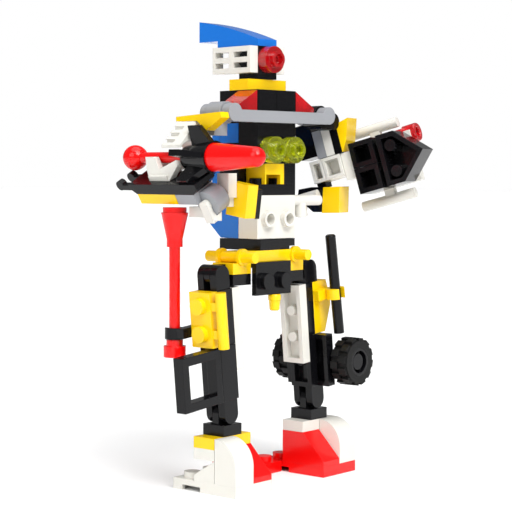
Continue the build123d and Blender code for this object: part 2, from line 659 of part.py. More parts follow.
LAMP_X = (-PITCH + LAMP_SHIFT, PITCH + LAMP_SHIFT)
LAMP_Z = CHEST_TOP + LAMP_HEIGHT / 2
with BuildPart() as lamp_brick:
    block(TORSO, (BODY_X[0] + GAP, BODY_X[1] - GAP), (BODY_FRONT[0] + GAP, -GAP), (CHEST_TOP, LAMP_TOP))
    studs(facing_front(0), LAMP_X, (LAMP_Z - 4, LAMP_Z + 4), PITCH - GAP)


def round_plate(frame, x, y, low, bore=True):
    """A round plate with a stud on top and a socket below."""
    rod(frame, x, y, low, low + PLATE, PITCH - 2 * GAP)
    rod(frame, x, y, low, low + STUD_H + 0.1, STUD_D + 0.1, Mode.SUBTRACT)
    rod(frame, x, y, low + PLATE, low + PLATE + STUD_H, STUD_D)
    if bore:
        rod(frame, x, y, low + PLATE - 0.4, low + PLATE + STUD_H, PIN_D + 0.2, Mode.SUBTRACT)


with BuildPart() as chest_lamps:
    for x in cells(*LAMP_X):
        round_plate(facing_front(0), x, LAMP_Z, PITCH - GAP)
keep("chest_lamps", chest_lamps)

with BuildPart() as collar:
    block(TORSO, (BODY_X[0] + GAP, BODY_X[1] - GAP), (BODY_FRONT[0] + GAP, -GAP), (LAMP_TOP, COLLAR_TOP))
    studs(TORSO, BODY_X, BODY_FRONT, COLLAR_TOP)

with BuildPart() as backpack:
    # a lower block that slopes in towards the hips, and a slab above it up to the collar
    low = HIP_TOP + TURN_GAP
    profile = [
        (GAP, low),
        (BODY_REAR[1] - 0.5, low),
        (BODY_REAR[1] + 6.0, low + 5.6),
        (BODY_REAR[1] + 6.0, BAR_TOP),
        (GAP, BAR_TOP),
    ]
    side_frame = Plane(TORSO.origin, x_dir=TORSO.y_dir, z_dir=TORSO.x_dir)
    prism(side_frame, profile, BODY_X[0] + GAP, BODY_X[1] - GAP)
    rod(Plane.XY, 0, 0, low, HIP_TOP + 1.4, TURNTABLE_D + 0.3, Mode.SUBTRACT)
    block(TORSO, (BODY_X[0] + GAP, BODY_X[1] - GAP), (PITCH, PITCH + PLATE), (BAR_TOP, COLLAR_TOP))

with BuildPart() as backpack_top:
    top_low = LAMP_TOP - 1.9
    block(TORSO, (BODY_X[0] + GAP, BODY_X[1] - GAP), (GAP, PITCH - GAP), (top_low, COLLAR_TOP))
    studs(TORSO, BODY_X, BODY_REAR, COLLAR_TOP)

keep("waist_bricks", waist_brick, waist_bar_plate)
keep("chest_bricks", spine_brick, lamp_brick, collar)
keep("backpack", backpack, backpack_top)

with BuildPart() as shoulder_bricks:
    for x in ((-PITCH, 0.0), (0.0, PITCH)):
        brick(TORSO, x, (-PITCH, PITCH), COLLAR_TOP, BRICK, knobs=False)
        rod(TORSO, x[0] + PITCH / 2, 0, NECK_LOW, NECK_LOW + STUD_H, STUD_D)
keep("shoulder_bricks", shoulder_bricks)

WING_LOW = COLLAR_TOP + PLATE
WING_TOP = COLLAR_TOP + BRICK - 0.2
with BuildPart() as red_wings:
    for side in (-1, 1):
        near, far = side * (PITCH + GAP), side * (PITCH + WING_SPAN - GAP)
        front_frame = facing_front(0)
        outline = [(near, WING_LOW), (far, WING_LOW), (far, WING_LOW + LIP), (near, WING_TOP)]
        if side < 0:
            outline.reverse()
        prism(front_frame, outline, GAP, PITCH - GAP)
keep("red_wings", red_wings)

SHOULDER_X = SHOULDER_SPAN / 2
SHOULDER_Z = COLLAR_TOP + 2.6
RING_Y = (-7.4, -1.6)  # where an arm's ring sits on its shoulder pin
BEAM_Y = -PITCH - BEAM_DEPTH
with BuildPart() as shoulder_beam:
    half = SHOULDER_X - 1.0
    block(TORSO, (-half, half), (BEAM_Y, -PITCH), (COLLAR_TOP, COLLAR_TOP + BEAM_HEIGHT))
    for side in (-1, 1):
        axis_frame = facing_front(0)
        rod(axis_frame, side * SHOULDER_X, SHOULDER_Z, PITCH - 0.3, PITCH + BEAM_DEPTH, KNOB_D)
        rod(axis_frame, side * SHOULDER_X, SHOULDER_Z, -1.2, PITCH + BEAM_DEPTH, BAR_D)
        rod(axis_frame, side * SHOULDER_X, SHOULDER_Z, -1.2, 1.2, KNOB_D)
keep("shoulder_beam", shoulder_beam)

with BuildPart() as neck_plate:
    brick(TORSO, BODY_X, (-PITCH / 2, PITCH / 2), NECK_LOW, knobs=False)
    rod(TORSO, 0, 0, NECK_TOP, NECK_TOP + STUD_H, STUD_D)
keep("neck_plate", neck_plate)

# ==== head ========================================================================================
HEAD_LOW = NECK_TOP + TURN_GAP
HEAD_TOP = HEAD_LOW + BRICK
CELL = (-PITCH / 2, PITCH / 2)
SIDE_STUD = 5.6  # height of a side stud's centre above the brick's base
EYE_Z = HEAD_LOW + SIDE_STUD


def facing(frame, direction):
    """A frame on the head's middle whose Z points sideways by a quarter turn count; Y stays up."""
    quarter = turned(frame, about_z=90 * direction)
    return Plane(frame.origin, x_dir=quarter.x_dir, z_dir=-quarter.y_dir)


with BuildPart() as head_core:
    body = (-PITCH / 2 + GAP, PITCH / 2 - GAP)
    block(TORSO, body, body, (HEAD_LOW, HEAD_TOP))
    rod(TORSO, 0, 0, HEAD_LOW, HEAD_LOW + STUD_H + 0.2, STUD_D + 0.2, Mode.SUBTRACT)
    for direction in range(4):
        rod(facing(TORSO, direction), 0, EYE_Z, PITCH / 2 - GAP, PITCH / 2 - GAP + STUD_H, STUD_D)
    rod(TORSO, 0, 0, HEAD_TOP, HEAD_TOP + STUD_H, STUD_D)
keep("head_core", head_core)

with BuildPart() as eye_lamp:
    round_plate(facing(TORSO, 0), 0, EYE_Z, PITCH / 2 - GAP)
keep("eye_lamp", eye_lamp)

GRILLE_RIBS = 3
with BuildPart() as cheek_grilles:
    for direction in (-1, 1):
        cheek = facing(TORSO, direction)
        toward = direction  # local X that points to the rear of the head
        length = (-PITCH / 2 + GAP, 1.5 * PITCH - GAP)
        x = length if toward > 0 else (-length[1], -length[0])
        y = (EYE_Z - PITCH / 2 + GAP, EYE_Z + PITCH / 2 - GAP)
        z = (PITCH / 2 - GAP, PITCH / 2 - GAP + PLATE)
        block(cheek, x, y, z)
        rod(cheek, 0, EYE_Z, z[0], z[0] + STUD_H + 0.05, STUD_D + 0.1, Mode.SUBTRACT)
        slot = (y[1] - y[0]) / (2 * GRILLE_RIBS - 1)
        for i in range(1, GRILLE_RIBS):
            low = y[0] + slot * (2 * i - 1)
            for part in ((x[0] + 1.2, (x[0] + x[1]) / 2 - 1.0), ((x[0] + x[1]) / 2 + 1.0, x[1] - 1.2)):
                block(cheek, part, (low, low + slot), z, Mode.SUBTRACT)
keep("cheek_grilles", cheek_grilles)

CREST_FRONT = -PITCH / 2 + GAP
CREST_REAR = CREST_FRONT + CREST_LENGTH
with BuildPart() as crest_fin:
    crest_frame = Plane(TORSO.origin, x_dir=TORSO.y_dir, z_dir=TORSO.x_dir)
    under = CREST_REAR - PITCH
    with BuildSketch(crest_frame.offset(-PITCH / 2 + GAP)) as fin_face:
        with BuildLine():
            sill = Line((CREST_FRONT, HEAD_TOP), (CREST_FRONT, HEAD_TOP + 2.0))
            top = ThreePointArc(
                sill @ 1,
                (CREST_FRONT + CREST_LENGTH * 0.45, HEAD_TOP + CREST_RISE * 0.66),
                (CREST_REAR, HEAD_TOP + CREST_RISE),
            )
            heel = HEAD_TOP + 2.2
            Polyline(top @ 1, (CREST_REAR, heel), (under, heel), (under, HEAD_TOP), sill @ 0)
        make_face()
    extrude(fin_face.sketch, amount=PITCH - 2 * GAP)
    rod(TORSO, 0, 0, HEAD_TOP, HEAD_TOP + STUD_H + 0.05, STUD_D + 0.1, Mode.SUBTRACT)
keep("crest_fin", crest_fin)

# ==== right arm ===================================================================================
RIGHT_PIN = (-SHOULDER_X, SHOULDER_Z)
CANNON_Z = SHOULDER_Z - CANNON_DROP
ALONG = facing_front(0)  # X to the left, Y up, Z forward: the cannon lies along its Z


def rear_side(x):
    """A frame on a plane facing the figure's right: X to the rear, Y up, Z to the left."""
    return Plane(TORSO.from_local_coords((x, 0, 0)), x_dir=TORSO.y_dir, z_dir=TORSO.x_dir)


ARM_OUT = -28.0
with BuildPart() as right_shoulder_clip:
    ring = (-RING_Y[1], -RING_Y[0])
    rod(ALONG, *RIGHT_PIN, *(ring[0], ring[1]), BAR_D + 2 * CLIP_PLAY + 3.0)
    block(ALONG, (-24.6, -SHOULDER_X), (SHOULDER_Z - 6.6, SHOULDER_Z - 1.2), ring)
    rod(ALONG, *RIGHT_PIN, *(ring[0], ring[1]), BAR_D + 2 * CLIP_PLAY + 0.1, Mode.SUBTRACT)
keep("right_shoulder_clip", right_shoulder_clip)

with BuildPart() as right_arm_wing:
    wing = [(4.9, -1.2), (4.9, -2.5), (-3.8, -2.55), (-7.7, -5.3), (-13.7, -1.8), (-13.2, -0.2)]
    prism(rear_side(ARM_OUT), [(y, SHOULDER_Z + z) for y, z in wing], 0, 3.2)
keep("right_arm_wing", right_arm_wing)

with BuildPart() as right_arm_slope:
    slope_y = (-3.7, 4.1)
    slope_low, slope_top, run = SHOULDER_Z - 10.1, SHOULDER_Z - 2.6, 6.2
    face = [
        (ARM_OUT - run, slope_low),
        (-23.0, slope_low),
        (-23.0, slope_top),
        (ARM_OUT, slope_top),
        (ARM_OUT - run, slope_low + LIP - 0.8),
    ]
    prism(ALONG, face, -slope_y[1], -slope_y[0])
    block(ALONG, (ARM_OUT - 0.2, ARM_OUT + 3.4), (slope_top - 3, slope_top), (3.0, 4.2), Mode.SUBTRACT)
    for step in (0.25, 0.5, 0.75):
        x = ARM_OUT - run * step
        z = slope_top - (slope_top - slope_low) * step
        groove_y = (-slope_y[1] - 1, -slope_y[0] - 3.6)
        block(ALONG, (x - 1.4, x + 0.5), (z - 0.45, z + 0.45), groove_y, Mode.SUBTRACT)
    # room for the shoulder clip and for the cannon's collar
    clip_y = (-RING_Y[1] - 0.1, -RING_Y[0] + 0.1)
    block(ALONG, (-24.7, -SHOULDER_X), (SHOULDER_Z - 6.7, SHOULDER_Z), clip_y, Mode.SUBTRACT)
    rod(ALONG, CANNON_X, CANNON_Z, -10, 20, NOSE_D + 1.2, Mode.SUBTRACT)
keep("right_arm_slope", right_arm_slope)

# the tray hangs below the cannon, rolled about its length
TRAY_EDGE = (-35.6, SHOULDER_Z - 20.5)
tray_level = Plane(ALONG.from_local_coords((*TRAY_EDGE, 0)), x_dir=ALONG.x_dir, z_dir=ALONG.z_dir)
TRAY_ALONG = turned(tray_level, about_z=TRAY_ROLL)
TRAY_WIDTH = PITCH
TRAY_REAR = -15.0
TRAY_FRONT = TRAY_REAR + 3 * PITCH
# X forward, Y out of the tray, Z across it
trough = Plane(TRAY_ALONG.origin, x_dir=TRAY_ALONG.z_dir, z_dir=-TRAY_ALONG.x_dir)


def cut_below_tray():
    """Trim the piece being built at the tray's upper face."""
    block(trough, (-40, 40), (-30, 0), (-20, 12), Mode.SUBTRACT)


COLLAR_FRONT = -COLLAR_REAR + COLLAR_LENGTH
with BuildPart() as cannon_collar:
    rod(ALONG, CANNON_X, CANNON_Z, -COLLAR_REAR, COLLAR_FRONT, 6.6, tip=NOSE_D + 0.9)
    for angle in (96, 172, 232):
        fin_at = ALONG.from_local_coords((CANNON_X, CANNON_Z, 0))
        fin_frame = Plane(fin_at, x_dir=ALONG.x_dir, z_dir=ALONG.z_dir)
        fin_frame = turned(fin_frame, about_z=angle)
        blade = Plane(fin_frame.origin, x_dir=fin_frame.x_dir, z_dir=fin_frame.y_dir)
        # the blade's plane holds the radius (X) and the axis (-Y is forward)
        fin = [
            (2.5, -COLLAR_FRONT + 0.6),
            (2.5, -COLLAR_FRONT + 8.0),
            (FIN_REACH, -COLLAR_FRONT + 9.4),
            (FIN_REACH, -COLLAR_FRONT + 5.4),
            (4.2, -COLLAR_FRONT + 0.6),
        ]
        prism(blade, fin, -0.9, 0.9)
    rod(ALONG, CANNON_X, CANNON_Z, -COLLAR_REAR, COLLAR_FRONT, BAR_D + 0.1, Mode.SUBTRACT)
    rod(ALONG, CANNON_X, CANNON_Z, COLLAR_FRONT - 1.5, COLLAR_FRONT, NOSE_D + 0.1, Mode.SUBTRACT)
    cut_below_tray()
keep("cannon_collar", cannon_collar)

with BuildPart() as cannon:
    # a bar with a ball at the rear and a tapered, rounded nose at the front
    start = COLLAR_FRONT - 1.5
    end = COLLAR_FRONT + NOSE_LENGTH - NOSE_TIP_D / 2
    rod(ALONG, CANNON_X, CANNON_Z, -BALL_Y, COLLAR_FRONT, BAR_D)
    rod(ALONG, CANNON_X, CANNON_Z, start, end, NOSE_D, tip=NOSE_TIP_D)
    for at, radius in ((end, NOSE_TIP_D / 2), (-BALL_Y, BALL_D / 2)):
        with Locations(Location(ALONG.from_local_coords((CANNON_X, CANNON_Z, at)))):
            Sphere(radius)
keep("cannon", cannon)

with BuildPart() as cannon_clip:
    side_view = rear_side(CANNON_X)
    fork = [
        (9.6, -7.0),
        (10.8, -3.8),
        (11.6, 0.2),
        (7.9, 0.2),
        (5.6, -3.3),
        (-1.4, -0.8),
        (-2.0, -2.4),
        (1.6, -7.0),
    ]
    cheek = [(y, CANNON_Z + z) for y, z in fork]
    for near, far in ((-3.8, -1.9), (1.9, 3.2)):
        prism(side_view, cheek, near, far)
    block(side_view, (1.8, 9.5), (CANNON_Z - 7.0, CANNON_Z - 4.2), (-3.8, 3.2))
    cut_below_tray()
    block(trough, (-9.5, -1.8), (0, 1.5), (-9.8, -2.0))
keep("cannon_clip", cannon_clip)

with BuildPart() as tray:
    outline = [
        (TRAY_REAR, -PLATE),
        (TRAY_FRONT, -PLATE),
        (TRAY_FRONT + 2.0, -PLATE / 2),
        (TRAY_FRONT + 2.0, 0),
        (TRAY_REAR - 2.0, 0),
        (TRAY_REAR - 2.0, -PLATE / 2),
    ]
    prism(trough, outline, -TRAY_WIDTH, 0)
    for across_at in (-6.4, -1.6):
        hook = (across_at - 0.9, across_at + 0.9)
        block(trough, (TRAY_REAR - 7.0, TRAY_REAR - 1.9), (-PLATE + 0.8, -PLATE + 2.4), hook)
        rod(trough, TRAY_REAR - 7.0, -PLATE + 2.2, *hook, 3.0)
keep("tray", tray)

with BuildPart() as tray_yellow_plate:
    yellow_x = (TRAY_REAR + GAP, TRAY_REAR + 2 * PITCH - GAP)
    block(trough, yellow_x, (-2 * PLATE, -PLATE), (-TRAY_WIDTH + GAP, -GAP))
keep("tray_yellow_plate", tray_yellow_plate)

with BuildPart() as tray_grey_plate:
    grey_x = (TRAY_REAR + 2 * PITCH + GAP, TRAY_REAR + 3 * PITCH - GAP)
    block(trough, grey_x, (-2 * PLATE, -PLATE), (-TRAY_WIDTH + GAP, -GAP))
    disc = (TRAY_REAR + 3 * PITCH + 1.5, -2.3 * PLATE)
    rod(trough, *disc, -TRAY_WIDTH + 1.0, -2.0, PITCH)
    rod(trough, *disc, -TRAY_WIDTH + 1.0, -2.0, BAR_D + 0.1, Mode.SUBTRACT)
keep("tray_grey_plate", tray_grey_plate)

with BuildPart() as right_hand:
    palm = SHOULDER_Z - 26.6
    rod(TORSO, -27.6, -11.2, palm - 3.8, palm + 2.1, 3.4)
    block(TORSO, (-29.4, -25.9), (-11.2, -2.2), (palm - 3.0, palm))
    block(TORSO, (-25.4, -22.2), (-14.0, -9.4), (palm + 2.6, palm + 9.4))
    block(TORSO, (-29.2, -22.2), (-12.8, -9.4), (palm, palm + 2.6))
    # the tray's ring and plate rest against the hand
    rod(trough, *disc, -TRAY_WIDTH + 0.9, -1.9, PITCH + 0.2, Mode.SUBTRACT)
    across_plate = (-TRAY_WIDTH, 0)
    block(trough, (grey_x[0], grey_x[1] + GAP), (-2 * PLATE - GAP, 0), across_plate, Mode.SUBTRACT)
    # a bar runs through the ring and joins the palm to the knuckle
    rod(trough, *disc, -9.5, -0.4, BAR_D)
    block(trough, (disc[0] - 1.6, disc[0] + 1.6), (disc[1] - 5.2, disc[1]), (-1.8, -0.4))
keep("right_hand", right_hand)

HAND_TILT = 8.0
hand_at = TORSO.from_local_coords((-22.1, -10.0, palm + 1.8))
hand_level = Plane(hand_at, x_dir=TORSO.x_dir, z_dir=TORSO.z_dir)
HAND_FRAME = turned(hand_level, about_x=HAND_TILT)
with BuildPart() as right_fist_block:
    block(HAND_FRAME, (0, 4.0), (-7.8, 0), (-4.0, 5.4))
keep("right_fist_block", right_fist_block)

# ==== left arm ====================================================================================
knob = TORSO.from_local_coords((26.1, -3.7, SHOULDER_Z - 0.3))
pointed = turned(Plane(knob), about_z=LEFT_YAW)
pointed = turned(pointed, about_y=-LEFT_PITCH)
# X out along the arm, Y up, Z towards the open undersides of its bricks
ARM = Plane(knob, x_dir=pointed.x_dir, z_dir=-pointed.y_dir)

with BuildPart() as left_shoulder_clip:
    ring = (-RING_Y[1], -RING_Y[0])
    rod(ALONG, SHOULDER_X, SHOULDER_Z, *ring, BAR_D + 2 * CLIP_PLAY + 3.0)
    block(ALONG, (SHOULDER_X, 25.2), (SHOULDER_Z - 3.8, SHOULDER_Z + 0.8), ring)
    rod(ALONG, 25.2, SHOULDER_Z - 1.5, *ring, 5.2)
    rod(ALONG, SHOULDER_X, SHOULDER_Z, *ring, BAR_D + 2 * CLIP_PLAY + 0.1, Mode.SUBTRACT)


def clear_knob():
    """Cut room for the shoulder clip's knob out of the piece being built."""
    room = (-RING_Y[1] - 0.05, -RING_Y[0] + 0.05)
    rod(ALONG, 25.2, SHOULDER_Z - 1.5, *room, 5.3, Mode.SUBTRACT)
    block(ALONG, (SHOULDER_X, 25.2), (SHOULDER_Z - 3.85, SHOULDER_Z + 0.85), room, Mode.SUBTRACT)


UPPER_Y = (-11.4, -2.9)
STACK_Z = (-7.8, 0.0)
with BuildPart() as left_upper_blocks:
    block(ARM, (-11.4, -6.1), (-10.4, 0.2), STACK_Z)
    block(ARM, (-0.2, 2.2), UPPER_Y, STACK_Z)
    clear_knob()

with BuildPart() as left_grey_plate:
    block(ARM, (-6.0, -3.1), UPPER_Y, STACK_Z)
    clear_knob()
keep("left_grey_plate", left_grey_plate)

with BuildPart() as left_white_plate:
    block(ARM, (-3.0, -0.3), UPPER_Y, STACK_Z)
    clear_knob()

with BuildPart() as left_elbow_bricks:
    for x in ((-9.2, -5.1), (-5.0, 1.0)):
        block(ARM, x, (-18.4, -11.6), STACK_Z)
        block(ARM, (x[0] + 0.9, x[1] - 0.9), (-17.3, -12.6), (-4.0, 0), Mode.SUBTRACT)
    block(ARM, (1.1, 4.2), (-20.0, -11.6), (-6.4, -1.0))

keep("left_upper_arm", left_shoulder_clip, left_upper_blocks)
keep("left_elbow_bricks", left_elbow_bricks, left_white_plate)

FIST_LEFT = 4.4
FIST_MID = -17.5
FIST_Y = (FIST_MID - PITCH, FIST_MID + PITCH)
UNDER = Plane(ARM.origin, x_dir=ARM.x_dir, z_dir=-ARM.z_dir)  # studs point away from the open side
with BuildPart() as left_fist_bricks:
    for low in (FIST_Y[0], FIST_MID):
        brick(UNDER, (FIST_LEFT, FIST_LEFT + PITCH), (-low - PITCH, -low), 0, BRICK)
keep("left_fist_bricks", left_fist_bricks)

NOSE_X = FIST_LEFT + PITCH + 1.2
with BuildPart() as left_fist_wedge:
    half = PITCH - GAP
    straight = 5.8

    def nose(inset):
        """The wedge's outline: a square back and a pointed front, drawn in by an inset."""
        side = half - inset
        return [
            (NOSE_X + inset, FIST_MID + side),
            (NOSE_X + straight - 0.4 * inset, FIST_MID + side),
            (NOSE_X + straight + half - 1.4 * inset, FIST_MID),
            (NOSE_X + straight - 0.4 * inset, FIST_MID - side),
            (NOSE_X + inset, FIST_MID - side),
        ]

    prism(ARM, nose(0), -BRICK, 0)
    prism(ARM, nose(WALL), -BRICK + ROOF, 0, Mode.SUBTRACT)
    for y in (FIST_MID - PITCH / 2, FIST_MID + PITCH / 2):
        rod(ARM, NOSE_X + 3.6, y, -BRICK + ROOF / 2, -1.0, 3.6)
        rod(ARM, NOSE_X + 4.0, y, -BRICK - STUD_H, -BRICK, STUD_D)
keep("left_fist_wedge", left_fist_wedge)

with BuildPart() as left_fist_plate:
    plate_x = (FIST_LEFT + GAP, FIST_LEFT + 2 * PITCH + 1.0)
    block(ARM, plate_x, (FIST_Y[0] + GAP, FIST_Y[1] - GAP), (-BRICK - PLATE, -BRICK))
    for low in (FIST_Y[0], FIST_MID):
        socket = (low + PITCH / 2 - STUD_D / 2 - 0.1, low + PITCH / 2 + STUD_D / 2 + 0.1)
        socket_z = (-BRICK - STUD_H - 0.2, -BRICK)
        block(ARM, (FIST_LEFT + 1.5, plate_x[1] - 1.2), socket, socket_z, Mode.SUBTRACT)
    bar_z = -BRICK - PLATE / 2
    bar_frame = Plane(ARM.from_local_coords((0, 0, bar_z)), x_dir=ARM.y_dir, z_dir=ARM.x_dir)
    for y, stem in ((FIST_Y[1] + 3.4, -1), (FIST_Y[0] - 3.0, 1)):
        rod(bar_frame, y, 0, 0.4, 0.4 + FIST_BAR_LENGTH, BAR_D)
        edge = FIST_Y[1] if stem < 0 else FIST_Y[0]
        stem_y = (min(y, edge) - 0.2, max(y, edge) + 0.2)
        block(ARM, (8.6, 11.8), stem_y, (bar_z - 1.2, bar_z + 1.2))
keep("left_fist_plate", left_fist_plate)

with BuildPart() as left_hand_block:
    hand = [(-15.2, -18.5), (-10.9, -18.9), (-6.8, -20.0), (-9.3, -27.3), (-12.3, -26.5), (-16.4, -21.0)]
    prism(ARM, hand, STACK_Z[0], STACK_Z[1] - 1.0)
    block(ARM, (-9.2, -6.4), (-19.9, -18.4), (STACK_Z[0] + 1, -2.0))
keep("left_hand_block", left_hand_block)

with BuildPart() as left_yellow_bricks:
    # a wedge beside the upper plates, and the brick in the hand
    prism(ARM, [(2.3, -2.6), (6.6, -1.8), (4.3, -8.4), (2.3, -11.4)], *STACK_Z)
    prism(ARM, [(-6.7, -20.1), (-1.4, -21.3), (-3.7, -29.0), (-9.2, -27.6)], *STACK_Z)
    clear_knob()
keep("left_yellow_bricks", left_yellow_bricks)

with BuildPart() as left_finger:
    tilt = Plane(ARM.from_local_coords((-19.0, -21.9, 0.8)), x_dir=ARM.y_dir, z_dir=ARM.x_dir)
    rod(tilt, 0, 0, 0, 10.5, 3.3)
    rod(ARM, -15.4, -24.4, -1.2, 2.0, 3.0)
    block(ARM, (-16.8, -14.2), (-27.0, -22.5), (-0.9, 1.7))
keep("left_finger", left_finger)

# ==== place the origin under the middle of the figure and write every piece ========================
whole = Compound([node_part(pieces) for pieces in PIECES.values()]).bounding_box()
SHIFT = Vector(-(whole.min.X + whole.max.X) / 2, -(whole.min.Y + whole.max.Y) / 2, -whole.min.Z)

os.makedirs("parts", exist_ok=True)
for name, pieces in PIECES.items():
    node = node_part(pieces)
    node.position = SHIFT
    node.label = name
    export_step(node, f"parts/{name}.step")
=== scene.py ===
"""A brick-built mech figure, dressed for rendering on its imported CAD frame."""

from math import radians

import bpy
import numpy as np
from mathutils import Matrix, Vector


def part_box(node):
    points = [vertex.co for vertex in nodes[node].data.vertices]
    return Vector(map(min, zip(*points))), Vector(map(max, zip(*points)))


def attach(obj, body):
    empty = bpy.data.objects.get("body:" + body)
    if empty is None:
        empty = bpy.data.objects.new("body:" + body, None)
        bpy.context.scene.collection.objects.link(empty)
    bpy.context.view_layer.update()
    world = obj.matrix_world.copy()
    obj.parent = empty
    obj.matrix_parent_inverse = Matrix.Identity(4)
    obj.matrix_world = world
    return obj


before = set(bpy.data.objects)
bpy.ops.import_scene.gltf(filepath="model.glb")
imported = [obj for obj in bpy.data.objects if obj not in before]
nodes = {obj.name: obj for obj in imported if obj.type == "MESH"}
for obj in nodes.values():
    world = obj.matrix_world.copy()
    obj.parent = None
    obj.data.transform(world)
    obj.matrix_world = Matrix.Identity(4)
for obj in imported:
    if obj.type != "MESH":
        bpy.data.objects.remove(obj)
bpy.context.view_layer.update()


# ---- feet: white toe caps, heels and sole, one red sole, red insteps and the red link between them ----
# Injection-moulded bricks pushed together stud into socket, so every edge has a small moulding radius
# and every face keeps the faint waviness and hairline scratches of handled glossy plastic.
def moulded(name, colour, roughness=0.16, tint=0.05, soft=0.0, mirror=0.3):
    """Glossy moulded plastic: broad noise shifts colour, fine noise gives mould texture,
    a stretched noise gives hairline scratches in the gloss, and rounded edge normals catch the light."""
    material = bpy.data.materials.new(name)
    material.use_nodes = True
    tree = material.node_tree
    shader = tree.nodes["Principled BSDF"]
    where = tree.nodes.new("ShaderNodeTexCoord")

    def noise(scale, detail, stretch=(1.0, 1.0, 1.0)):
        place = tree.nodes.new("ShaderNodeMapping")
        place.inputs["Scale"].default_value = stretch
        tree.links.new(where.outputs["Object"], place.inputs["Vector"])
        field = tree.nodes.new("ShaderNodeTexNoise")
        field.inputs["Scale"].default_value = scale
        field.inputs["Detail"].default_value = detail
        tree.links.new(place.outputs["Vector"], field.inputs["Vector"])
        return field

    def remap(field, low, high, start=0.3, stop=0.7):
        span = tree.nodes.new("ShaderNodeMapRange")
        span.inputs["From Min"].default_value = start
        span.inputs["From Max"].default_value = stop
        span.inputs["To Min"].default_value = low
        span.inputs["To Max"].default_value = high
        tree.links.new(field.outputs["Fac"], span.inputs["Value"])
        return span

    cloudy = noise(90.0, 3.0)
    blend = tree.nodes.new("ShaderNodeMix")
    blend.data_type = "RGBA"
    blend.inputs["A"].default_value = (*[c * (1.0 - tint) for c in colour], 1.0)
    blend.inputs["B"].default_value = (*[min(1.0, c * (1.0 + tint)) for c in colour], 1.0)
    tree.links.new(cloudy.outputs["Fac"], blend.inputs["Factor"])
    tree.links.new(blend.outputs["Result"], shader.inputs["Base Color"])

    hairlines = noise(500.0, 2.0, (1.0, 1.0, 14.0))
    gloss = remap(hairlines, roughness, roughness + 0.14, 0.55, 0.8)
    tree.links.new(gloss.outputs["Result"], shader.inputs["Roughness"])

    grain = noise(1400.0, 2.0)
    edge = tree.nodes.new("ShaderNodeBevel")
    edge.samples = 4
    edge.inputs["Radius"].default_value = 0.00022
    bump = tree.nodes.new("ShaderNodeBump")
    bump.inputs["Strength"].default_value = 0.05
    bump.inputs["Distance"].default_value = 0.0001
    tree.links.new(grain.outputs["Fac"], bump.inputs["Height"])
    tree.links.new(edge.outputs["Normal"], bump.inputs["Normal"])
    tree.links.new(bump.outputs["Normal"], shader.inputs["Normal"])
    shader.inputs["IOR"].default_value = 1.54
    shader.inputs["Specular IOR Level"].default_value = mirror
    shader.inputs["Coat Weight"].default_value = 0.06
    shader.inputs["Coat Roughness"].default_value = 0.06
    shader.inputs["Subsurface Weight"].default_value = soft
    shader.inputs["Subsurface Radius"].default_value = (0.0006, 0.0005, 0.0004)
    return material


def wear(material, *names):
    """Give CAD nodes a material."""
    for name in names:
        for holder in nodes[name].material_slots:
            holder.material = material
        if not nodes[name].material_slots:
            nodes[name].data.materials.append(material)


white = moulded("white_brick", (0.74, 0.725, 0.67), roughness=0.2, tint=0.02, soft=0.1)
red = moulded("red_brick", (0.80, 0.003, 0.003))
yellow = moulded("yellow_brick", (0.96, 0.62, 0.003), soft=0.05)
black = moulded("black_brick", (0.004, 0.004, 0.005), roughness=0.18, tint=0.2, mirror=0.17)
wear(white, "right_sole", "white_foot_bricks", "left_foot_jumper")
wear(red, "left_sole", "instep_slopes", "foot_link")
wear(yellow, "right_foot_jumper")
wear(black, "ankle_brackets")

# ---- right leg: black hinge beams with a white plate, a yellow plate with a handle, an open frame ----
# The beams turn in two-finger hinges at ankle and hip.  A clip on the leg's rear edge holds the lance,
# a red bar with a flared cup on top.
wear(black, "right_leg_beams", "shin_frame", "lance_clip")
wear(white, "right_knee_plate")
wear(yellow, "thigh_handle")
wear(red, "lance")

# ---- left leg: black hinge beams, yellow thigh bricks, a clipped rod and a pair of wheels ----
# The wheels are ribbed hubs on one axle with soft black tyres pressed over them.
wear(black, "left_leg_hinges", "antenna_rod", "wheel_holder", "hubs")
wear(white, "left_knee_plate")
wear(yellow, "left_thigh_bricks")
rubber = moulded("tyre_rubber", (0.006, 0.006, 0.006), roughness=0.5, tint=0.3, mirror=0.2)
rubber.node_tree.nodes["Principled BSDF"].inputs["Coat Weight"].default_value = 0.0
wear(rubber, "tyres")

# ---- hips: yellow belt and spacers, black hinge plates, a black bracket with two open studs ----
# A small yellow stub hangs under the bracket: a tapered pin with a rounded tip and a collar.
wear(black, "hip_hinges", "hip_plate", "crotch_bracket")
wear(yellow, "belt")


def shell(name, points, faces, place=None):
    """A closed mesh in the scene, from its points and faces, moved to its place in the mesh itself."""
    mesh = bpy.data.meshes.new(name)
    mesh.from_pydata(points.tolist(), [], faces)
    if place is not None:
        mesh.transform(place)
    mesh.validate()
    piece = bpy.data.objects.new(name, mesh)
    bpy.context.scene.collection.objects.link(piece)
    return piece


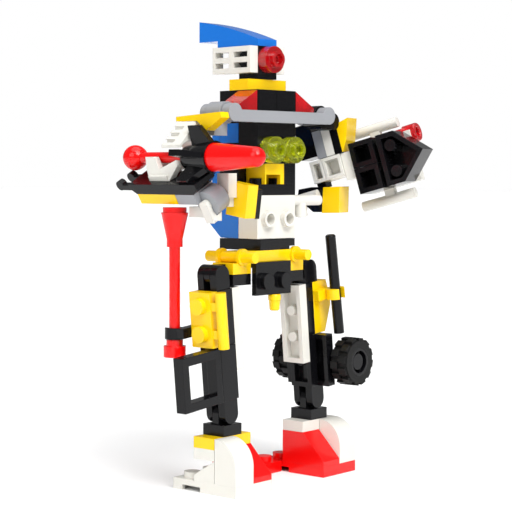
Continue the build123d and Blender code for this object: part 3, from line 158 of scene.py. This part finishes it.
def lathe(name, profile, start, along, around=48):
    """A turned shape: each row of the profile (distance, radius) becomes a ring
    p(i, a) = start + along * distance_i + radius_i * (side cos a + up sin a), with a pole at each end."""
    profile = np.array(profile, float)
    along = np.array(along, float) / np.linalg.norm(along)
    helper = np.array([0.0, 0.0, 1.0]) if abs(along[2]) < 0.9 else np.array([1.0, 0.0, 0.0])
    side = np.cross(helper, along)
    side /= np.linalg.norm(side)
    up = np.cross(along, side)
    angle = np.linspace(0.0, 2.0 * np.pi, around, endpoint=False)
    ring = np.cos(angle)[:, None] * side + np.sin(angle)[:, None] * up
    inner = profile[1:-1]
    grid = inner[:, None, :1] * along + inner[:, None, 1:] * ring[None]
    poles = profile[[0, -1], :1] * along
    points = np.concatenate([grid.reshape(-1, 3), poles]) + np.array(start, float)
    step = np.arange(around)
    following = (step + 1) % around
    rows = np.arange(len(inner) - 1)[:, None] * around
    quads = np.stack([rows + step, rows + following, rows + around + following, rows + around + step], -1)
    first, last = len(points) - 2, len(points) - 1
    top = (len(inner) - 1) * around
    caps = np.concatenate(
        [
            np.stack([following, step, np.full(around, first)], -1),
            np.stack([top + step, top + following, np.full(around, last)], -1),
        ]
    )
    return shell(name, points, quads.reshape(-1, 4).tolist() + caps.tolist())


def fit(piece, material, body):
    """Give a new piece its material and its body."""
    piece.data.materials.append(material)
    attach(piece, body)


bracket_low, bracket_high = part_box("crotch_bracket")
stub_length = 0.0048
stub_at = (
    (bracket_low.x + bracket_high.x) / 2 + 0.001,
    bracket_low.y + 0.0022,
    bracket_low.z - stub_length,
)
stub_profile = [
    (0.0, 0.0),
    (0.0, 0.0011),
    (0.0002, 0.0014),
    (0.0006, 0.0015),
    (0.0030, 0.0017),
    (0.0031, 0.0019),
    (0.0044, 0.0019),
    (0.0048, 0.0017),
    (0.0048, 0.0),
]
stub = lathe("crotch_stub", stub_profile, stub_at, (0, 0, 1))
fit(stub, yellow, "hips")

# ---- torso: white waist bricks with open studs, yellow arch, black core, blue pack, clear lamps ----
# The bricks stack in half-brick steps; two see-through round plates sit on side studs as lamps, and
# see-through red slopes sit on the shoulders behind a grey beam that carries the arm pins.
grey = moulded("grey_brick", (0.30, 0.31, 0.33), roughness=0.2)
blue = moulded("blue_brick", (0.008, 0.16, 0.62))


def see_through(name, colour, clear=0.82):
    """See-through moulded plastic: tinted transmission with a smooth, slightly wavy skin."""
    material = moulded(name, colour, roughness=0.05, tint=0.05)
    shader = material.node_tree.nodes["Principled BSDF"]
    shader.inputs["Transmission Weight"].default_value = clear
    shader.inputs["Coat Weight"].default_value = 0.4
    return material


clear_red = see_through("clear_red", (0.75, 0.006, 0.012), clear=0.6)
clear_yellow = see_through("clear_yellow", (0.78, 0.86, 0.02))
wear(white, "waist_bricks")
wear(blue, "backpack")
wear(black, "belly_plate", "chest_bricks", "shoulder_bricks")
wear(yellow, "chest_arch", "neck_plate")
wear(clear_yellow, "chest_lamps")
wear(clear_red, "red_wings")
wear(grey, "shoulder_beam")

# ---- head: a black brick with a stud on each side, a clear red eye, white grilles and a blue crest ----
# The grilles and the eye push onto the side studs, and the crest onto the top one.
wear(black, "head_core")
wear(clear_red, "eye_lamp")
wear(white, "cheek_grilles")
wear(blue, "crest_fin")

# ---- right arm: a red cannon in a finned black collar, over a black tray with plates below it ----
# A grey clip turns on the shoulder pin.  The white hand at the front holds a yellow block that carries
# a thin black plate on its inner face.
wear(grey, "right_shoulder_clip", "tray_grey_plate")
wear(yellow, "right_arm_wing", "tray_yellow_plate", "right_fist_block")
wear(white, "right_arm_slope", "cannon_clip", "right_hand")
wear(black, "cannon_collar", "tray")
wear(red, "cannon")


def rounded_block(name, half, radius, place, rows=24, around=48):
    """A block with rounded edges: the normals n of a sphere grid give p = (half - radius) * sign(n)
    + radius * n, so each octant of the sphere becomes one corner; a pole closes each end."""
    tilt = (np.arange(rows) + 0.5) * np.pi / rows
    turn = (np.arange(around) + 0.5) * 2.0 * np.pi / around
    normal = np.stack(
        [
            np.sin(tilt)[:, None] * np.cos(turn),
            np.sin(tilt)[:, None] * np.sin(turn),
            np.cos(tilt)[:, None] * np.ones(around),
        ],
        -1,
    ).reshape(-1, 3)
    half = np.array(half, float)
    points = (half - radius) * np.sign(normal) + radius * normal
    points = np.concatenate([points, [[0, 0, half[2]], [0, 0, -half[2]]]])
    step = np.arange(around)
    following = (step + 1) % around
    ring = np.arange(rows - 1)[:, None] * around
    quads = np.stack([ring + step, ring + around + step, ring + around + following, ring + following], -1)
    first, last = len(points) - 2, len(points) - 1
    bottom = (rows - 1) * around
    caps = np.concatenate(
        [
            np.stack([step, following, np.full(around, first)], -1),
            np.stack([bottom + following, bottom + step, np.full(around, last)], -1),
        ]
    )
    return shell(name, points, quads.reshape(-1, 4).tolist() + caps.tolist(), place)


fist_low, fist_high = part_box("right_fist_block")
torso_turn, hand_tilt = radians(-4.67), radians(8.0)
hand_turn = Matrix.Rotation(torso_turn, 4, "Z") @ Matrix.Rotation(hand_tilt, 4, "X")
plate_place = Matrix.Translation((fist_low + fist_high) / 2) @ hand_turn
plate_place = plate_place @ Matrix.Translation((0.00295, 0.0, -0.0007))
fist_plate = rounded_block("right_fist_plate", (0.0009, 0.0039, 0.0042), 0.00025, plate_place)
fit(fist_plate, black, "right_arm")

# ---- left arm: stacked bricks on a clip, a black fist with a pointed nose, two bars and a muzzle ----
# The white plate on the fist carries the bars; the muzzle is a see-through red round brick in front.
wear(black, "left_upper_arm", "left_fist_bricks", "left_fist_wedge", "left_hand_block")
wear(grey, "left_grey_plate")
wear(white, "left_elbow_bricks", "left_fist_plate", "left_finger")
wear(yellow, "left_yellow_bricks")
arm_swing, arm_pitch = radians(-74.65), radians(15.7)
arm_yaw = torso_turn + arm_swing
arm_turn = Matrix.Rotation(arm_yaw, 3, "Z") @ Matrix.Rotation(-arm_pitch, 3, "Y")
arm_out, arm_open, arm_up = arm_turn.col[0], -arm_turn.col[1], arm_turn.col[2]


def furthest(node, direction):
    """How far a CAD node reaches along a direction: the largest dot product of its points with it."""
    points = np.array([corner.co for corner in nodes[node].data.vertices])
    return float((points @ np.array(direction)).max())


# the muzzle's axis runs along the back face of the white plate, so the muzzle is half sunk in it
muzzle_setback, muzzle_drop, muzzle_clear = 0.0064, 0.0060, 0.0002
muzzle_at = (
    arm_out * (furthest("left_fist_plate", arm_out) - muzzle_setback)
    + arm_up * (furthest("left_fist_plate", arm_up) - muzzle_drop)
    - arm_open * (furthest("left_fist_plate", -arm_open) + muzzle_clear)
)
muzzle_profile = [
    (0.0, 0.0),
    (0.0, 0.0022),
    (0.0002, 0.0024),
    (0.0030, 0.0024),
    (0.0031, 0.0027),
    (0.0033, 0.0029),
    (0.0073, 0.0029),
    (0.0077, 0.0027),
    (0.0077, 0.0017),
    (0.0075, 0.0015),
    (0.0058, 0.0015),
    (0.0058, 0.0),
]
muzzle = lathe("left_muzzle", muzzle_profile, muzzle_at, arm_out)
fit(muzzle, clear_red, "left_arm")

# ---- studio: a white floor under a white sky, a broad key light, a fill and a top light ----
# None of this is part of the object.
floor_mesh = bpy.data.meshes.new("studio_floor")
reach = 6.0
corners = [(-reach, -reach, 0), (reach, -reach, 0), (reach, reach, 0), (-reach, reach, 0)]
floor_mesh.from_pydata(corners, [], [(0, 1, 2, 3)])
studio_floor = bpy.data.objects.new("studio_floor", floor_mesh)
bpy.context.scene.collection.objects.link(studio_floor)
paper = bpy.data.materials.new("white_paper")
paper.use_nodes = True
paper.node_tree.nodes["Principled BSDF"].inputs["Base Color"].default_value = (0.93, 0.93, 0.93, 1.0)
paper.node_tree.nodes["Principled BSDF"].inputs["Roughness"].default_value = 0.9
floor_mesh.materials.append(paper)

world = bpy.data.worlds.new("studio_sky")
bpy.context.scene.world = world
world.use_nodes = True
sky = world.node_tree
sky.nodes["Background"].inputs["Color"].default_value = (1.0, 1.0, 1.0, 1.0)
# seen directly the sky is white; as a light it is much dimmer, so that black bricks stay black
seen = sky.nodes.new("ShaderNodeLightPath")
level = sky.nodes.new("ShaderNodeMapRange")
level.inputs["To Min"].default_value = 0.25
level.inputs["To Max"].default_value = 1.0
sky.links.new(seen.outputs["Is Camera Ray"], level.inputs["Value"])
sky.links.new(level.outputs["Result"], sky.nodes["Background"].inputs["Strength"])
bpy.context.scene.view_settings.view_transform = "Standard"


def soft_light(name, place, target, power, size):
    """A square light that faces a point."""
    lamp = bpy.data.lights.new(name, "AREA")
    lamp.energy = power
    lamp.size = size
    holder = bpy.data.objects.new(name, lamp)
    holder.location = place
    holder.rotation_euler = (Vector(target) - Vector(place)).to_track_quat("-Z", "Y").to_euler()
    bpy.context.scene.collection.objects.link(holder)


def broad_light(name, towards, strength, spread):
    """A far light of one direction and a wide angle, so the floor is evenly bright out to the horizon."""
    lamp = bpy.data.lights.new(name, "SUN")
    lamp.energy = strength
    lamp.angle = radians(spread)
    holder = bpy.data.objects.new(name, lamp)
    holder.rotation_euler = Vector(towards).to_track_quat("-Z", "Y").to_euler()
    bpy.context.scene.collection.objects.link(holder)


middle = (0.0, 0.0, 0.07)
broad_light("broad_key", (0.25, 0.75, -0.8), 2.0, 40)
broad_light("broad_side", (0.9, 0.1, -0.45), 0.9, 40)
broad_light("broad_top", (0.0, 0.1, -1.0), 1.5, 60)
soft_light("key", (-0.25, -0.55, 0.55), middle, 1.6, 0.25)

camera_data = bpy.data.cameras.new("camera")
camera_data.lens = 107.6
camera_data.sensor_width = 36.0
camera_data.clip_start = 0.01
camera = bpy.data.objects.new("camera", camera_data)
bpy.context.scene.collection.objects.link(camera)
hip_low, hip_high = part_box("hip_plate")
body_axis = (hip_low + hip_high) / 2
back_off, camera_height = Vector((0.3461, 0.2936)), 0.0910
camera.location = (body_axis.x - back_off.x, body_axis.y - back_off.y, camera_height)
down, roll = radians(3.12), radians(0.16)
heading = Vector((0.762, 0.6475, 0.0)).normalized()
look = heading * np.cos(down) - Vector((0.0, 0.0, np.sin(down)))
upright = look.to_track_quat("-Z", "Y").to_matrix()
camera.rotation_euler = (upright @ Matrix.Rotation(roll, 3, "Z")).to_euler()
bpy.context.scene.camera = camera
